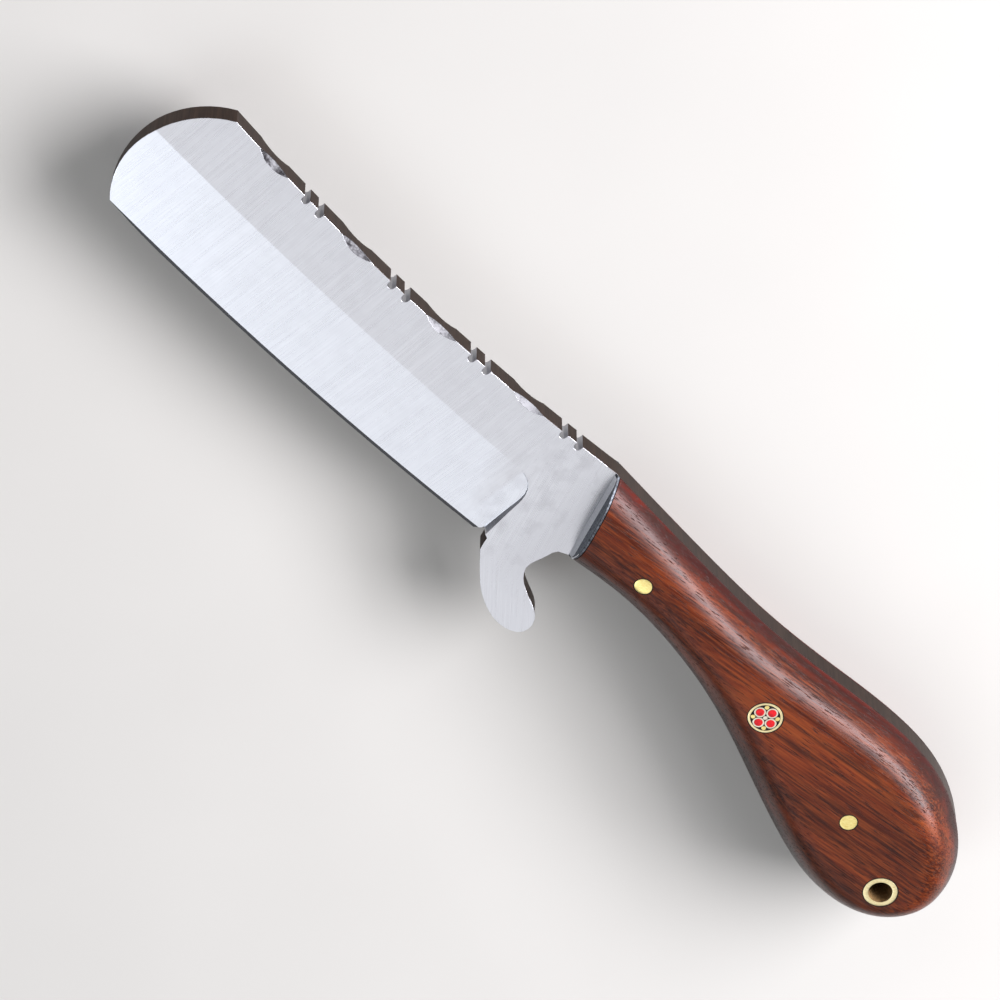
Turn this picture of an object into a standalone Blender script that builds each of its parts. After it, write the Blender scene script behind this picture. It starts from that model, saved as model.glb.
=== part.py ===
"""Full-tang stockman's knife, lying on its side.

One steel blank is the blade, the finger guard and the tang.  Two wooden scales
lie on the tang behind thin steel front plates, held by a film of epoxy, two
brass pins, a mosaic pin and a brass lanyard tube.

Sizes are in millimetres in the knife's own axes: x runs from the tip to the
butt, y is 0 along the top of the grind with the spine above it, and z is 0 on
the middle plane of the steel.  place() turns them into metres.
"""
import math

import bmesh
import bpy
import numpy as np
from mathutils import Matrix, Vector

MM = 0.001

# Steel blank
STEEL_THICKNESS = 4.4
HALF_STEEL = STEEL_THICKNESS / 2
TIP_CENTRE = (17.0, -3.0)
TIP_RADIUS = 17.05
TIP_ARC_DEGREES = (225.5, 119.5)
SPINE_END = (103.5, 12.05)
SPINE_SAG = 2.3

# Grind: a flat bevel down to a narrow sharpening bevel, which fades out at the tip
BEVEL_START = (5.0, -15.15)
BEVEL_END = (95.4, -14.1)
BEVEL_BELLY = 1.3
BEVEL_FOOT_THICKNESS = 0.9
EDGE_THICKNESS = 0.12
SHARPENED_WIDTH = 0.75
SHARPENED_RUN = 14.0
NOTCH_MOUTH = [(96.6, -13.3), (97.9, -13.8), (98.2, -14.9)]
HOOK_POINTS = [
    (98.7, -16.2), (102.0, -19.4), (105.6, -22.3), (109.6, -24.1), (113.8, -24.4),
    (116.7, -22.6), (116.6, -19.8), (112.8, -17.1), (108.3, -14.6), (107.1, -12.6),
    (107.4, -10.4), (107.9, -8.3), (108.4, -6.6), (109.6, -5.95),
]

# Handle outline, from the spine at the front of the scales round to the belly
HANDLE_POINTS = [
    (103.5, 12.05), (118.0, 11.2), (133.0, 10.5), (147.0, 10.4), (162.0, 11.5),
    (178.0, 12.9), (191.0, 11.8), (202.0, 7.0), (209.0, 0.4), (211.7, -7.0),
    (209.6, -13.7), (203.5, -18.8), (194.4, -20.6), (182.0, -18.3), (166.0, -12.7),
    (150.0, -7.4), (136.0, -4.8), (123.0, -4.2), (110.3, -5.6),
]
FRONT_TOP = HANDLE_POINTS[0]
FRONT_BOTTOM = HANDLE_POINTS[-1]

GRIND_START = (-6.0, 1.1)
GRIND_END = (91.5, 0.3)
GRIND_SAG = 1.1
PLUNGE_POINTS = [(91.5, 0.3), (94.0, -0.4), (95.6, -2.2), (96.2, -6.0), (96.6, -13.0)]
PLUNGE_LEAN = 0.25

# Filework along the spine
SCALLOP_FIRST = 19.0
SCALLOP_PITCH = 21.1
SCALLOP_COUNT = 4
SCALLOP_LENGTH = 7.4
SCALLOP_DEPTH = 0.72
NOTCH_PAIRS = (29.0, 51.0, 71.0, 93.2)
NOTCH_GAP = 3.5
NOTCH_WIDTH = 1.4
NOTCH_DEPTH = 1.25

# Scales, front plates and epoxy
SCALE_HEIGHT_FRONT = 4.6
SCALE_HEIGHT_FULL = 7.4
SWELL_LENGTH = 42.0
ROUND_OVER = 8.5
SCALE_RIM = 0.25
PLATE_FOOT = 0.5
PLATE_FOOT_HEIGHT = 1.4
PLATE_THICKNESS = 0.45
PLATE_FOOT_SHARE = 0.7
JOINT_GAP = 0.15
FILM_THICKNESS = 0.09
FILM_START = 0.3
SCALE_BASE = HALF_STEEL + JOINT_GAP

# Pins: (x, y) on the handle, and radii
FRONT_PIN = (121.6, 1.9)
MOSAIC_PIN = (156.3, 0.0)
REAR_PIN = (183.8, -4.1)
LANYARD_TUBE = (199.6, -10.1)
PIN_RADIUS = 3.175 / 2
TUBE_RADIUS = 6.35 / 2
LANYARD_BORE = 2.2
HOLE_CLEARANCE = 0.12
MOSAIC_WALL = 0.45
MOSAIC_TURN = math.radians(40.5)
CELL_RADIUS = 1.07
CELL_BORE = 0.80
CORE_RADIUS = 0.76
CELL_REACH = 1.56
CENTRE_ROD_RADIUS = 0.40
GAP_ROD_RADIUS = 0.42
GAP_ROD_REACH = 2.23

# How finely the curves are divided
HANDLE_STEPS = 5
HOOK_STEPS = 3
TIP_STEPS = 20
NOTCH_STEPS = 6
SPINE_STEPS = 4
EDGE_STATIONS = 10
FADE_STATIONS = 6
GRIND_STATIONS = 15
FILM_STATIONS = 90
PIN_SEGMENTS = 32
SMALL_SEGMENTS = 20
ROD_SEGMENTS = 10
SCALLOP_SEGMENTS = 48
SCALE_STATIONS = 34
SCALE_COLUMNS = 16
SMOOTH_BELOW = math.radians(35)
SAME_POINT = 1e-7

# How far the cutting shapes reach past what they cut
BELT_CLEARANCE = 3.0
BELT_OVERRUN = 2.0
SCALLOP_REACH = 5.0
HOLE_REACH = 14.0
ROD_MIDDLE = 0.02


# ---------------------------------------------------------------- plane curves

def spline(points):
    """A smooth cubic through the points, as a function of 0..1 along its chords."""
    knots = np.array(points, float)
    count = len(knots)
    at = np.concatenate(([0.0], np.cumsum(np.linalg.norm(np.diff(knots, axis=0), axis=1))))
    gap = np.diff(at)
    slope = np.diff(knots, axis=0) / gap[:, None]
    matrix = np.eye(count)
    bend = np.zeros((count, 2))
    for i in range(1, count - 1):
        matrix[i, i - 1:i + 2] = gap[i - 1], 2 * (gap[i - 1] + gap[i]), gap[i]
        bend[i] = 6 * (slope[i] - slope[i - 1])
    curve = np.linalg.solve(matrix, bend)

    def value(u):
        s = min(max(u, 0.0), 1.0) * at[-1]
        i = min(int(np.searchsorted(at, s, side="right")) - 1, count - 2)
        left, right, h = at[i + 1] - s, s - at[i], gap[i]
        point = (curve[i] * left ** 3 + curve[i + 1] * right ** 3) / (6 * h)
        point += (knots[i] / h - curve[i] * h / 6) * left
        point += (knots[i + 1] / h - curve[i + 1] * h / 6) * right
        return (float(point[0]), float(point[1]))

    return value


def sagged_height(start, end, sag, x):
    """Height at x of a shallow arc from start to end that dips by sag in the middle."""
    along = (x - start[0]) / (end[0] - start[0])
    return start[1] + (end[1] - start[1]) * along - 4 * sag * along * (1 - along)


def spine_height(x):
    return sagged_height(spine_start(), SPINE_END, SPINE_SAG, x)


def bevel_foot(x):
    """Where the flat bevel stops, just above the cutting edge."""
    return sagged_height(BEVEL_START, BEVEL_END, BEVEL_BELLY, x)


def edge_height(x):
    """The cutting edge, below the bevel's foot by the sharpened width."""
    along = min(max((x - BEVEL_START[0]) / SHARPENED_RUN, 0), 1)
    return bevel_foot(x) - SHARPENED_WIDTH * along * (2 - along)


def grind_height(x):
    return sagged_height(GRIND_START, GRIND_END, GRIND_SAG, x)


def tip_point(degrees):
    angle = math.radians(degrees)
    return (TIP_CENTRE[0] + TIP_RADIUS * math.cos(angle), TIP_CENTRE[1] + TIP_RADIUS * math.sin(angle))


def spine_start():
    return tip_point(TIP_ARC_DEGREES[1])


def notch_stations():
    """Places of the small cross notches, two between each pair of scallops."""
    return [middle + half for middle in NOTCH_PAIRS for half in (-NOTCH_GAP / 2, NOTCH_GAP / 2)]


def spine_outline():
    """The swayed spine from the tip to the scales, with its U-shaped notches."""
    half = NOTCH_WIDTH / 2
    points = []
    last = spine_start()[0]
    for x in notch_stations() + [SPINE_END[0] + half]:
        for step in range(1, SPINE_STEPS):
            between = last + (x - half - last) * step / SPINE_STEPS
            points.append((between, spine_height(between)))
        if x > SPINE_END[0]:
            break
        floor = spine_height(x) - NOTCH_DEPTH + half
        points.append((x - half, spine_height(x - half)))
        for step in range(NOTCH_STEPS + 1):
            angle = math.pi * (1 + step / NOTCH_STEPS)
            points.append((x + half * math.cos(angle), floor + half * math.sin(angle)))
        points.append((x + half, spine_height(x + half)))
        last = x + half
    return points


handle_curve = spline(HANDLE_POINTS)


def butt_parameter():
    """The place along the handle curve that reaches furthest back."""
    samples = [i / 2000 for i in range(2001)]
    return max(samples, key=lambda u: handle_curve(u)[0])


BUTT = butt_parameter()


def steel_outline():
    """The whole blank, anticlockwise from the heel of the edge."""
    first, last = TIP_ARC_DEGREES
    fade = BEVEL_START[0] + SHARPENED_RUN
    edge = np.linspace(BEVEL_END[0], fade, EDGE_STATIONS)
    tip_end = np.linspace(fade, BEVEL_START[0], FADE_STATIONS)[1:-1]
    points = [(x, edge_height(x)) for x in np.concatenate((edge, tip_end))]
    for step in range(TIP_STEPS + 1):
        points.append(tip_point(first + (last - first) * step / TIP_STEPS))
    points += spine_outline()
    spans = (len(HANDLE_POINTS) - 1) * HANDLE_STEPS
    points += [handle_curve(i / spans) for i in range(spans + 1)]
    hook = spline(HOOK_POINTS)
    spans = (len(HOOK_POINTS) - 1) * HOOK_STEPS
    points += [hook(1 - i / spans) for i in range(spans + 1)]
    points += reversed(NOTCH_MOUTH)
    return points


HANDLE_LINE = np.array([handle_curve(i / 400) for i in range(401)])


def depth_inside(x, y):
    """Distance from a point to the handle's outline."""
    starts, ends = HANDLE_LINE[:-1], HANDLE_LINE[1:]
    runs = ends - starts
    offsets = np.array((x, y)) - starts
    along = np.clip((offsets * runs).sum(1) / (runs ** 2).sum(1), 0, 1)
    nearest = starts + runs * along[:, None]
    return float(np.sqrt(((np.array((x, y)) - nearest) ** 2).sum(1)).min())


def crown(x, y):
    """Height of a scale's outer face above its base: round shoulders, flat top."""
    swell = min(max((x - FRONT_TOP[0]) / SWELL_LENGTH, 0), 1)
    swell = swell * swell * (3 - 2 * swell)
    full = SCALE_HEIGHT_FRONT + (SCALE_HEIGHT_FULL - SCALE_HEIGHT_FRONT) * swell
    inward = min(depth_inside(x, y) / ROUND_OVER, 1)
    return SCALE_RIM + (full - SCALE_RIM) * (1 - (1 - inward) ** 3)


def behind_front(point):
    """Distance of a point behind the straight front line of the handle."""
    line = np.array(FRONT_BOTTOM) - np.array(FRONT_TOP)
    line /= np.linalg.norm(line)
    offset = np.array(point) - np.array(FRONT_TOP)
    return float(offset[0] * -line[1] + offset[1] * line[0])


def curve_parameter(distance, top):
    """Where the handle curve is the given distance behind the front line."""
    low, high = (0.0, BUTT) if top else (1.0, BUTT)
    for _ in range(50):
        middle = (low + high) / 2
        if behind_front(handle_curve(middle)) < distance:
            low = middle
        else:
            high = middle
    return (low + high) / 2


# ------------------------------------------------------------------- mesh help

def material(name, colour, roughness, metallic):
    item = bpy.data.materials.new(name)
    item.use_nodes = True
    shader = item.node_tree.nodes["Principled BSDF"]
    shader.inputs["Base Color"].default_value = (*colour, 1)
    shader.inputs["Roughness"].default_value = roughness
    shader.inputs["Metallic"].default_value = metallic
    return item


def place(name, vertices, faces, look, smooth=True):
    """An object with its mesh in metres, riding on the knife's frame."""
    mesh = bpy.data.meshes.new(name)
    mesh.from_pydata([Vector(v) * MM for v in vertices], [], faces)
    shape = bmesh.new()
    shape.from_mesh(mesh)
    bmesh.ops.recalc_face_normals(shape, faces=shape.faces)
    shape.to_mesh(mesh)
    shape.free()
    if smooth:
        mesh.shade_smooth()
        mesh.set_sharp_from_angle(angle=SMOOTH_BELOW)
    item = bpy.data.objects.new(name, mesh)
    bpy.context.scene.collection.objects.link(item)
    item.parent = knife_frame
    if look:
        mesh.materials.append(look)
    else:
        item.hide_render = True
        item.display_type = "WIRE"
    return item


def prism(outline, low, high):
    """Vertices and faces of a flat outline raised from low to high."""
    count = len(outline)
    vertices = [(x, y, low) for x, y in outline] + [(x, y, high) for x, y in outline]
    faces = [tuple(range(count)), tuple(range(2 * count - 1, count - 1, -1))]
    for i in range(count):
        j = (i + 1) % count
        faces.append((i, j, count + j, count + i))
    return vertices, faces


def loft(rings, capped=True):
    """Vertices and faces of a skin through rings of equal length."""
    size = len(rings[0])
    vertices = [point for ring in rings for point in ring]
    faces = []
    for r in range(len(rings) - 1):
        for i in range(size):
            j = (i + 1) % size
            faces.append((r * size + i, r * size + j, (r + 1) * size + j, (r + 1) * size + i))
    if capped:
        faces.append(tuple(range(size)))
        faces.append(tuple(range((len(rings) - 1) * size, len(rings) * size)))
    return vertices, faces


def merged(solids):
    """Several separate solids in one list of vertices and faces."""
    vertices, faces = [], []
    for more_vertices, more_faces in solids:
        base = len(vertices)
        vertices += more_vertices
        faces += [tuple(base + i for i in face) for face in more_faces]
    return vertices, faces


def circle(centre, radius, segments):
    turns = [2 * math.pi * i / segments for i in range(segments)]
    return [(centre[0] + radius * math.cos(a), centre[1] + radius * math.sin(a)) for a in turns]


def flush_ring(centre, radius, segments, side):
    """A circle of points lying in the outer face of the scales."""
    return [(x, y, side * (SCALE_BASE + crown(x, y))) for x, y in circle(centre, radius, segments)]


def flush_rod(centre, radius, segments):
    """A rod through the handle, its ends ground to the curve of the wood."""
    radii = (ROD_MIDDLE, radius / 2, radius)
    rings = [flush_ring(centre, r, segments, 1) for r in radii]
    rings += [flush_ring(centre, r, segments, -1) for r in reversed(radii)]
    return loft(rings)


def flush_tube(centre, radius, bore, segments):
    """A tube through the handle, its ends ground to the curve of the wood."""
    rings = [
        flush_ring(centre, bore, segments, 1), flush_ring(centre, radius, segments, 1),
        flush_ring(centre, radius, segments, -1), flush_ring(centre, bore, segments, -1),
    ]
    return loft(rings + rings[:1], capped=False)


def weld(item):
    """Join the doubled first ring of a closed loft."""
    shape = bmesh.new()
    shape.from_mesh(item.data)
    bmesh.ops.remove_doubles(shape, verts=shape.verts, dist=SAME_POINT)
    bmesh.ops.recalc_face_normals(shape, faces=shape.faces)
    shape.to_mesh(item.data)
    shape.free()


def cut(item, *cutters):
    for cutter in cutters:
        modifier = item.modifiers.new("cut_" + cutter.name, "BOOLEAN")
        modifier.operation = "DIFFERENCE"
        modifier.solver = "EXACT"
        modifier.object = cutter


# --------------------------------------------------------------------- cutters

def bevel_surface(x, y):
    """Half thickness of the blade inside the grind."""
    thin = BEVEL_FOOT_THICKNESS / 2
    depth = (grind_height(x) - y) / (grind_height(x) - bevel_foot(x))
    return HALF_STEEL - (HALF_STEEL - thin) * depth


def bevel_cutter(side):
    """What the grinding belt takes off one side of the blade."""
    plunge = spline(PLUNGE_POINTS)
    stations = np.linspace(GRIND_START[0], GRIND_END[0], GRIND_STATIONS)
    upper = [(x, grind_height(x)) for x in stations[:-1]]
    upper += [plunge(i / (GRIND_STATIONS - 1)) for i in range(GRIND_STATIONS)]
    top = HALF_STEEL + BELT_CLEARANCE
    fall = (BEVEL_FOOT_THICKNESS - EDGE_THICKNESS) / 2 / SHARPENED_WIDTH
    rings = []
    for x, y in upper:
        lean = PLUNGE_LEAN * (x - GRIND_END[0]) if x > GRIND_END[0] else 0
        foot = bevel_foot(x)
        low = edge_height(x) - BELT_OVERRUN
        rings.append([
            (x, low, side * (BEVEL_FOOT_THICKNESS / 2 - fall * (foot - low))),
            (x, foot, side * BEVEL_FOOT_THICKNESS / 2), (x, y, side * bevel_surface(x, y)),
            (x + lean, y + lean, side * top), (x + lean, low, side * top),
        ])
    return place(f"bevel_cutter_{'near' if side > 0 else 'far'}", *loft(rings), None)


def scallop_cutters():
    """Cylinders laid across both corners of the spine at 45 degrees."""
    radius = SCALLOP_LENGTH ** 2 / (8 * SCALLOP_DEPTH)
    reach = radius - SCALLOP_DEPTH
    solids = []
    for index in range(SCALLOP_COUNT):
        x = SCALLOP_FIRST + index * SCALLOP_PITCH
        for side in (1, -1):
            outward = Vector((0, 1, side)).normalized()
            axis = Vector((0, 1, -side)).normalized()
            centre = Vector((x, spine_height(x), side * HALF_STEEL)) + outward * reach
            rings = []
            for end in (-SCALLOP_REACH, SCALLOP_REACH):
                turns = [2 * math.pi * i / SCALLOP_SEGMENTS for i in range(SCALLOP_SEGMENTS)]
                rim = [Vector((math.cos(a), 0, 0)) + outward * math.sin(a) for a in turns]
                rings.append([tuple(centre + axis * end + radius * p) for p in rim])
            solids.append(loft(rings))
    return [place(f"scallop_cutter_{i}", *solid, None) for i, solid in enumerate(solids)]


def hole_cutter():
    """The drilled holes for the pins and the lanyard tube."""
    holes = [(FRONT_PIN, PIN_RADIUS), (REAR_PIN, PIN_RADIUS)]
    holes += [(MOSAIC_PIN, TUBE_RADIUS), (LANYARD_TUBE, TUBE_RADIUS)]
    rims = [circle(centre, radius + HOLE_CLEARANCE, PIN_SEGMENTS) for centre, radius in holes]
    solids = [prism(rim, -HOLE_REACH, HOLE_REACH) for rim in rims]
    return place("hole_cutter", *merged(solids), None)


# -------------------------------------------------------------------- the parts

def blade_and_tang():
    item = place("blade_and_tang", *prism(steel_outline(), -HALF_STEEL, HALF_STEEL), satin_steel)
    cut(item, bevel_cutter(1), bevel_cutter(-1), *scallop_cutters(), holes)


def handle_grid(front):
    """Plan points of the handle: stations from the front to the butt, spine to belly."""
    top, bottom = curve_parameter(front, True), curve_parameter(front, False)
    grid = []
    for k in range(SCALE_STATIONS + 1):
        s = math.sin(math.pi / 2 * k / SCALE_STATIONS)
        upper = np.array(handle_curve(top + (BUTT - top) * s))
        lower = np.array(handle_curve(bottom + (BUTT - bottom) * s))
        row = []
        for c in range(SCALE_COLUMNS + 1):
            share = (1 - math.cos(math.pi * c / SCALE_COLUMNS)) / 2
            row.append(tuple(upper + (lower - upper) * share))
        grid.append(row)
    return grid


def scale(name, side):
    """One wooden scale: a flat base and a domed outer face on the same plan."""
    grid = handle_grid(PLATE_FOOT + PLATE_THICKNESS + JOINT_GAP)
    rows, columns = SCALE_STATIONS, SCALE_COLUMNS + 1
    vertices = []
    for row in grid[:-1]:
        vertices += [(x, y, side * (SCALE_BASE + crown(x, y))) for x, y in row]
    end = len(vertices)
    butt = grid[-1][0]
    vertices.append((*butt, side * (SCALE_BASE + crown(*butt))))
    rim = [k * columns for k in range(rows)] + [end]
    rim += [k * columns + columns - 1 for k in reversed(range(rows))]
    rim += list(range(columns - 2, 0, -1))
    base = len(vertices)
    vertices += [(vertices[i][0], vertices[i][1], side * SCALE_BASE) for i in rim]
    faces = [tuple(base + i for i in range(len(rim)))]
    for i, upper in enumerate(rim):
        j = (i + 1) % len(rim)
        faces.append((upper, rim[j], base + j, base + i))
    for k in range(rows - 1):
        for c in range(columns - 1):
            a = k * columns + c
            faces.append((a, a + 1, a + columns + 1, a + columns))
    faces += [((rows - 1) * columns + c, (rows - 1) * columns + c + 1, end) for c in range(columns - 1)]
    cut(place(name, vertices, faces, rosewood), holes)


def front_plate(name, side):
    """Thin steel plate on the front of a scale, with a sloping foot on the ricasso."""
    offsets = (0.0, PLATE_FOOT, PLATE_FOOT + PLATE_THICKNESS)
    tops = [np.array(handle_curve(curve_parameter(o, True))) for o in offsets]
    bottoms = [np.array(handle_curve(curve_parameter(o, False))) for o in offsets]
    rings = []
    for c in range(SCALE_COLUMNS + 1):
        share = (1 - math.cos(math.pi * c / SCALE_COLUMNS)) / 2
        toe, face, back = [top + (low - top) * share for top, low in zip(tops, bottoms)]
        high = crown(*back)
        foot = min(PLATE_FOOT_HEIGHT, PLATE_FOOT_SHARE * high)
        section = [(toe, 0), (face, foot), (face, high), (back, high), (back, 0)]
        rings.append([(*p, side * (SCALE_BASE + z)) for p, z in section])
    place(name, *loft(rings), grey_steel)


def glue_film(name, side):
    """Epoxy between the tang and what lies on it."""
    top, bottom = curve_parameter(FILM_START, True), curve_parameter(FILM_START, False)
    shares = np.linspace(0, 1, FILM_STATIONS + 1)
    outline = [handle_curve(top + (bottom - top) * share) for share in shares]
    low = side * (HALF_STEEL + (JOINT_GAP - FILM_THICKNESS) / 2)
    item = place(name, *prism(outline, low, low + side * FILM_THICKNESS), epoxy)
    cut(item, holes)


def around(centre, reach, degrees):
    angle = MOSAIC_TURN + math.radians(degrees)
    return (centre[0] + reach * math.cos(angle), centre[1] + reach * math.sin(angle))


def mosaic_pin():
    """Brass tube packed with four sleeved red cores and five rods."""
    tube = flush_tube(MOSAIC_PIN, TUBE_RADIUS, TUBE_RADIUS - MOSAIC_WALL, PIN_SEGMENTS)
    weld(place("mosaic_tube", *tube, brass))
    for number in range(4):
        corner = around(MOSAIC_PIN, CELL_REACH, 45 + 90 * number)
        sleeve = flush_tube(corner, CELL_RADIUS, CELL_BORE, SMALL_SEGMENTS)
        weld(place(f"mosaic_sleeve_{number + 1}", *sleeve, nickel_silver))
        core = flush_rod(corner, CORE_RADIUS, SMALL_SEGMENTS)
        place(f"mosaic_red_core_{number + 1}", *core, red_resin)
        gap = around(MOSAIC_PIN, GAP_ROD_REACH, 90 * number)
        rod = flush_rod(gap, GAP_ROD_RADIUS, ROD_SEGMENTS)
        place(f"mosaic_gap_rod_{number + 1}", *rod, brass)
    middle = flush_rod(MOSAIC_PIN, CENTRE_ROD_RADIUS, ROD_SEGMENTS)
    place("mosaic_centre_rod", *middle, nickel_silver)


for old in list(bpy.data.objects):
    bpy.data.objects.remove(old, do_unlink=True)

satin_steel = material("satin_steel", (0.72, 0.72, 0.74), 0.32, 1.0)
grey_steel = material("grey_steel", (0.34, 0.34, 0.37), 0.45, 1.0)
rosewood = material("rosewood", (0.16, 0.035, 0.015), 0.30, 0.0)
epoxy = material("epoxy", (0.05, 0.03, 0.02), 0.40, 0.0)
brass = material("brass", (0.85, 0.68, 0.36), 0.28, 1.0)
nickel_silver = material("nickel_silver", (0.80, 0.76, 0.68), 0.28, 1.0)
red_resin = material("red_resin", (0.62, 0.03, 0.03), 0.35, 0.0)

knife_frame = bpy.data.objects.new("knife_frame", None)
bpy.context.scene.collection.objects.link(knife_frame)
plan = np.array(steel_outline())
plan_centre = (plan.min(0) + plan.max(0)) / 2
lying_height = SCALE_BASE + SCALE_HEIGHT_FULL
knife_frame.location = (-plan_centre[0] * MM, -plan_centre[1] * MM, lying_height * MM)

holes = hole_cutter()
blade_and_tang()
for word, direction in (("near", 1), ("far", -1)):
    scale(f"{word}_scale", direction)
    front_plate(f"{word}_front_plate", direction)
    glue_film(f"{word}_glue_film", direction)
place("front_pin", *flush_rod(FRONT_PIN, PIN_RADIUS, PIN_SEGMENTS), brass)
place("rear_pin", *flush_rod(REAR_PIN, PIN_RADIUS, PIN_SEGMENTS), brass)
mosaic_pin()
weld(place("lanyard_tube", *flush_tube(LANYARD_TUBE, TUBE_RADIUS, LANYARD_BORE, PIN_SEGMENTS), brass))
bpy.context.view_layer.update()
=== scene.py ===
# %% [markdown]
# # A full-tang stockman's knife
# One steel blank is the blade, the finger guard and the tang. Two rosewood scales lie on
# the tang behind thin steel front plates. Epoxy, two brass pins, a mosaic pin and a brass
# thong tube hold them. Nothing on the knife moves.
#
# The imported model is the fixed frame: it says where each piece is and how big it is. The
# cells below build a finer piece for each node of it, and give every piece a finish.

# %% Load the frame
import math

import bmesh
import bpy
import numpy as np
from mathutils import Matrix, Vector
from mathutils.bvhtree import BVHTree


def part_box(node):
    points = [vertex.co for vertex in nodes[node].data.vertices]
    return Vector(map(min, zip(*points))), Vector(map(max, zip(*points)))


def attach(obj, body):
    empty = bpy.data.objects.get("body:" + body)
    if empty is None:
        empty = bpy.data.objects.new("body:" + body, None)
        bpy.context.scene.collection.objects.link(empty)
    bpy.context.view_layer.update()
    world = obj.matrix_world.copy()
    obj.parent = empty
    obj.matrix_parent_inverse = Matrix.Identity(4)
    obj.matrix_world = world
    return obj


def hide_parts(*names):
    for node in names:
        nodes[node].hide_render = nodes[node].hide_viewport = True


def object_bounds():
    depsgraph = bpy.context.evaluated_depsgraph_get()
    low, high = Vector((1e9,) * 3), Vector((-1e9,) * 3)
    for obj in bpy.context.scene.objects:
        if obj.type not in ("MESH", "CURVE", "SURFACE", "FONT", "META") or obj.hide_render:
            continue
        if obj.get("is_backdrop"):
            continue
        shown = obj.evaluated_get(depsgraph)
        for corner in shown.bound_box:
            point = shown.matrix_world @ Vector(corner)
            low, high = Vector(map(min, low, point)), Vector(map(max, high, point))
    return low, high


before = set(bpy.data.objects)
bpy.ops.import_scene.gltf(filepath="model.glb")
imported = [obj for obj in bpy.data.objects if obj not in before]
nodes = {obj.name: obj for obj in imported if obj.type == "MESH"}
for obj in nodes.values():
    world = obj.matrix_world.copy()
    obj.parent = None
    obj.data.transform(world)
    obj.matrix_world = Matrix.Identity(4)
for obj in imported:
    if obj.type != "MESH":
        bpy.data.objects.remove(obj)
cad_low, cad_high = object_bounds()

MM = 0.001
print("size in mm:", [round((high - low) / MM, 1) for low, high in zip(cad_low, cad_high)])

# %% [markdown]
# ## Measures from the frame
# The steel lies level, so the middle of its thickness is the mirror plane of the knife.
# Each pin is round, so the middle of its box is its axis and half its width its radius.

# %% Measure the frame
steel_low, steel_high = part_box("blade_and_tang")
MIDDLE_Z = (steel_low.z + steel_high.z) / 2
HALF_STEEL = (steel_high.z - steel_low.z) / 2
SCALE_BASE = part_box("near_scale")[0].z - MIDDLE_Z
SIDES = {"near": 1, "far": -1}


def axis_of(node):
    """Centre in plan, and radius, of a round node."""
    low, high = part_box(node)
    return Vector(((low.x + high.x) / 2, (low.y + high.y) / 2, 0)), (high.x - low.x) / 2


ROUND_PINS = "front_pin", "mosaic_tube", "rear_pin", "lanyard_tube"
for pin in ROUND_PINS:
    centre, radius = axis_of(pin)
    print(pin, [round(v / MM, 1) for v in centre[:2]], "radius", round(radius / MM, 3), "mm")

# %% [markdown]
# ## Small helpers
# One function adds a node to a tree of either kind, with its settings, its constant
# inputs and its links. Others make objects, and bake a modifier stack into a plain mesh.
# The node kinds used most get short names. A range node's sockets are its value, the two
# ends it is read between and the two ends it is written between. A mix node's are its
# share, then a pair of numbers at 2 and 3, or with COLOURS a pair of colours at 6 and 7.

# %% Node, object and mesh helpers
MATH, RANGE, MIX = "ShaderNodeMath", "ShaderNodeMapRange", "ShaderNodeMix"
NOISE, BUMP = "ShaderNodeTexNoise", "ShaderNodeBump"
SPLIT, JOIN = "ShaderNodeSeparateXYZ", "ShaderNodeCombineXYZ"
COLOURS = {"data_type": "RGBA"}
SMOOTH_BELOW = math.radians(35)
SAME_POINT = 1e-6


def add(tree, kind, out=None, inputs=None, stops=None, **settings):
    """One node: settings are its options, inputs its values or links, stops its ramp.

    It returns the output that out names or numbers, or the node where out isn't given.
    """
    node = tree.nodes.new(kind)
    for option, value in settings.items():
        setattr(node, option, value)
    for socket, value in (inputs or {}).items():
        if isinstance(value, bpy.types.NodeSocket):
            tree.links.new(value, node.inputs[socket])
        else:
            node.inputs[socket].default_value = value
    if stops:
        ramp = node.color_ramp.elements
        while len(ramp) < len(stops):
            ramp.new(1.0)
        for element, (place, colour) in zip(ramp, stops):
            element.position = place
            element.color = colour
    return node if out is None else node.outputs[out]


def linear(code):
    """Turn an sRGB hex colour into the linear values that shaders use."""
    parts = [int(code[i:i + 2], 16) / 255 for i in (1, 3, 5)]
    bent = [c / 12.92 if c < 0.04045 else ((c + 0.055) / 1.055) ** 2.4 for c in parts]
    return (*bent, 1.0)


def new_object(name, mesh):
    item = bpy.data.objects.new(name, mesh)
    bpy.context.scene.collection.objects.link(item)
    return item


def mesh_object(name, vertices, faces):
    """An object from lists of points and faces, its normals turned outwards."""
    mesh = bpy.data.meshes.new(name)
    mesh.from_pydata([tuple(v) for v in vertices], [], faces)
    shape = bmesh.new()
    shape.from_mesh(mesh)
    bmesh.ops.remove_doubles(shape, verts=shape.verts, dist=SAME_POINT)
    bmesh.ops.recalc_face_normals(shape, faces=shape.faces)
    shape.to_mesh(mesh)
    shape.free()
    return new_object(name, mesh)


def baked(item, smooth=True):
    """Turn an object's evaluated shape into its own plain mesh, and drop its modifiers."""
    shapes = bpy.context.evaluated_depsgraph_get()
    mesh = bpy.data.meshes.new_from_object(item.evaluated_get(shapes))
    item.modifiers.clear()
    item.data = mesh
    if smooth:
        mesh.shade_smooth()
        mesh.set_sharp_from_angle(angle=SMOOTH_BELOW)
    return item


def made_of(item, finish, slot, *stands_for):
    """Give a finished piece its material and its body, and hide the CAD nodes it stands for."""
    item.data.materials.clear()
    item.data.materials.append(finish)
    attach(item, "root")
    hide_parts(*stands_for)
    print(item.name, len(item.data.polygons), "faces for", ", ".join(stands_for) or "no node")


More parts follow.
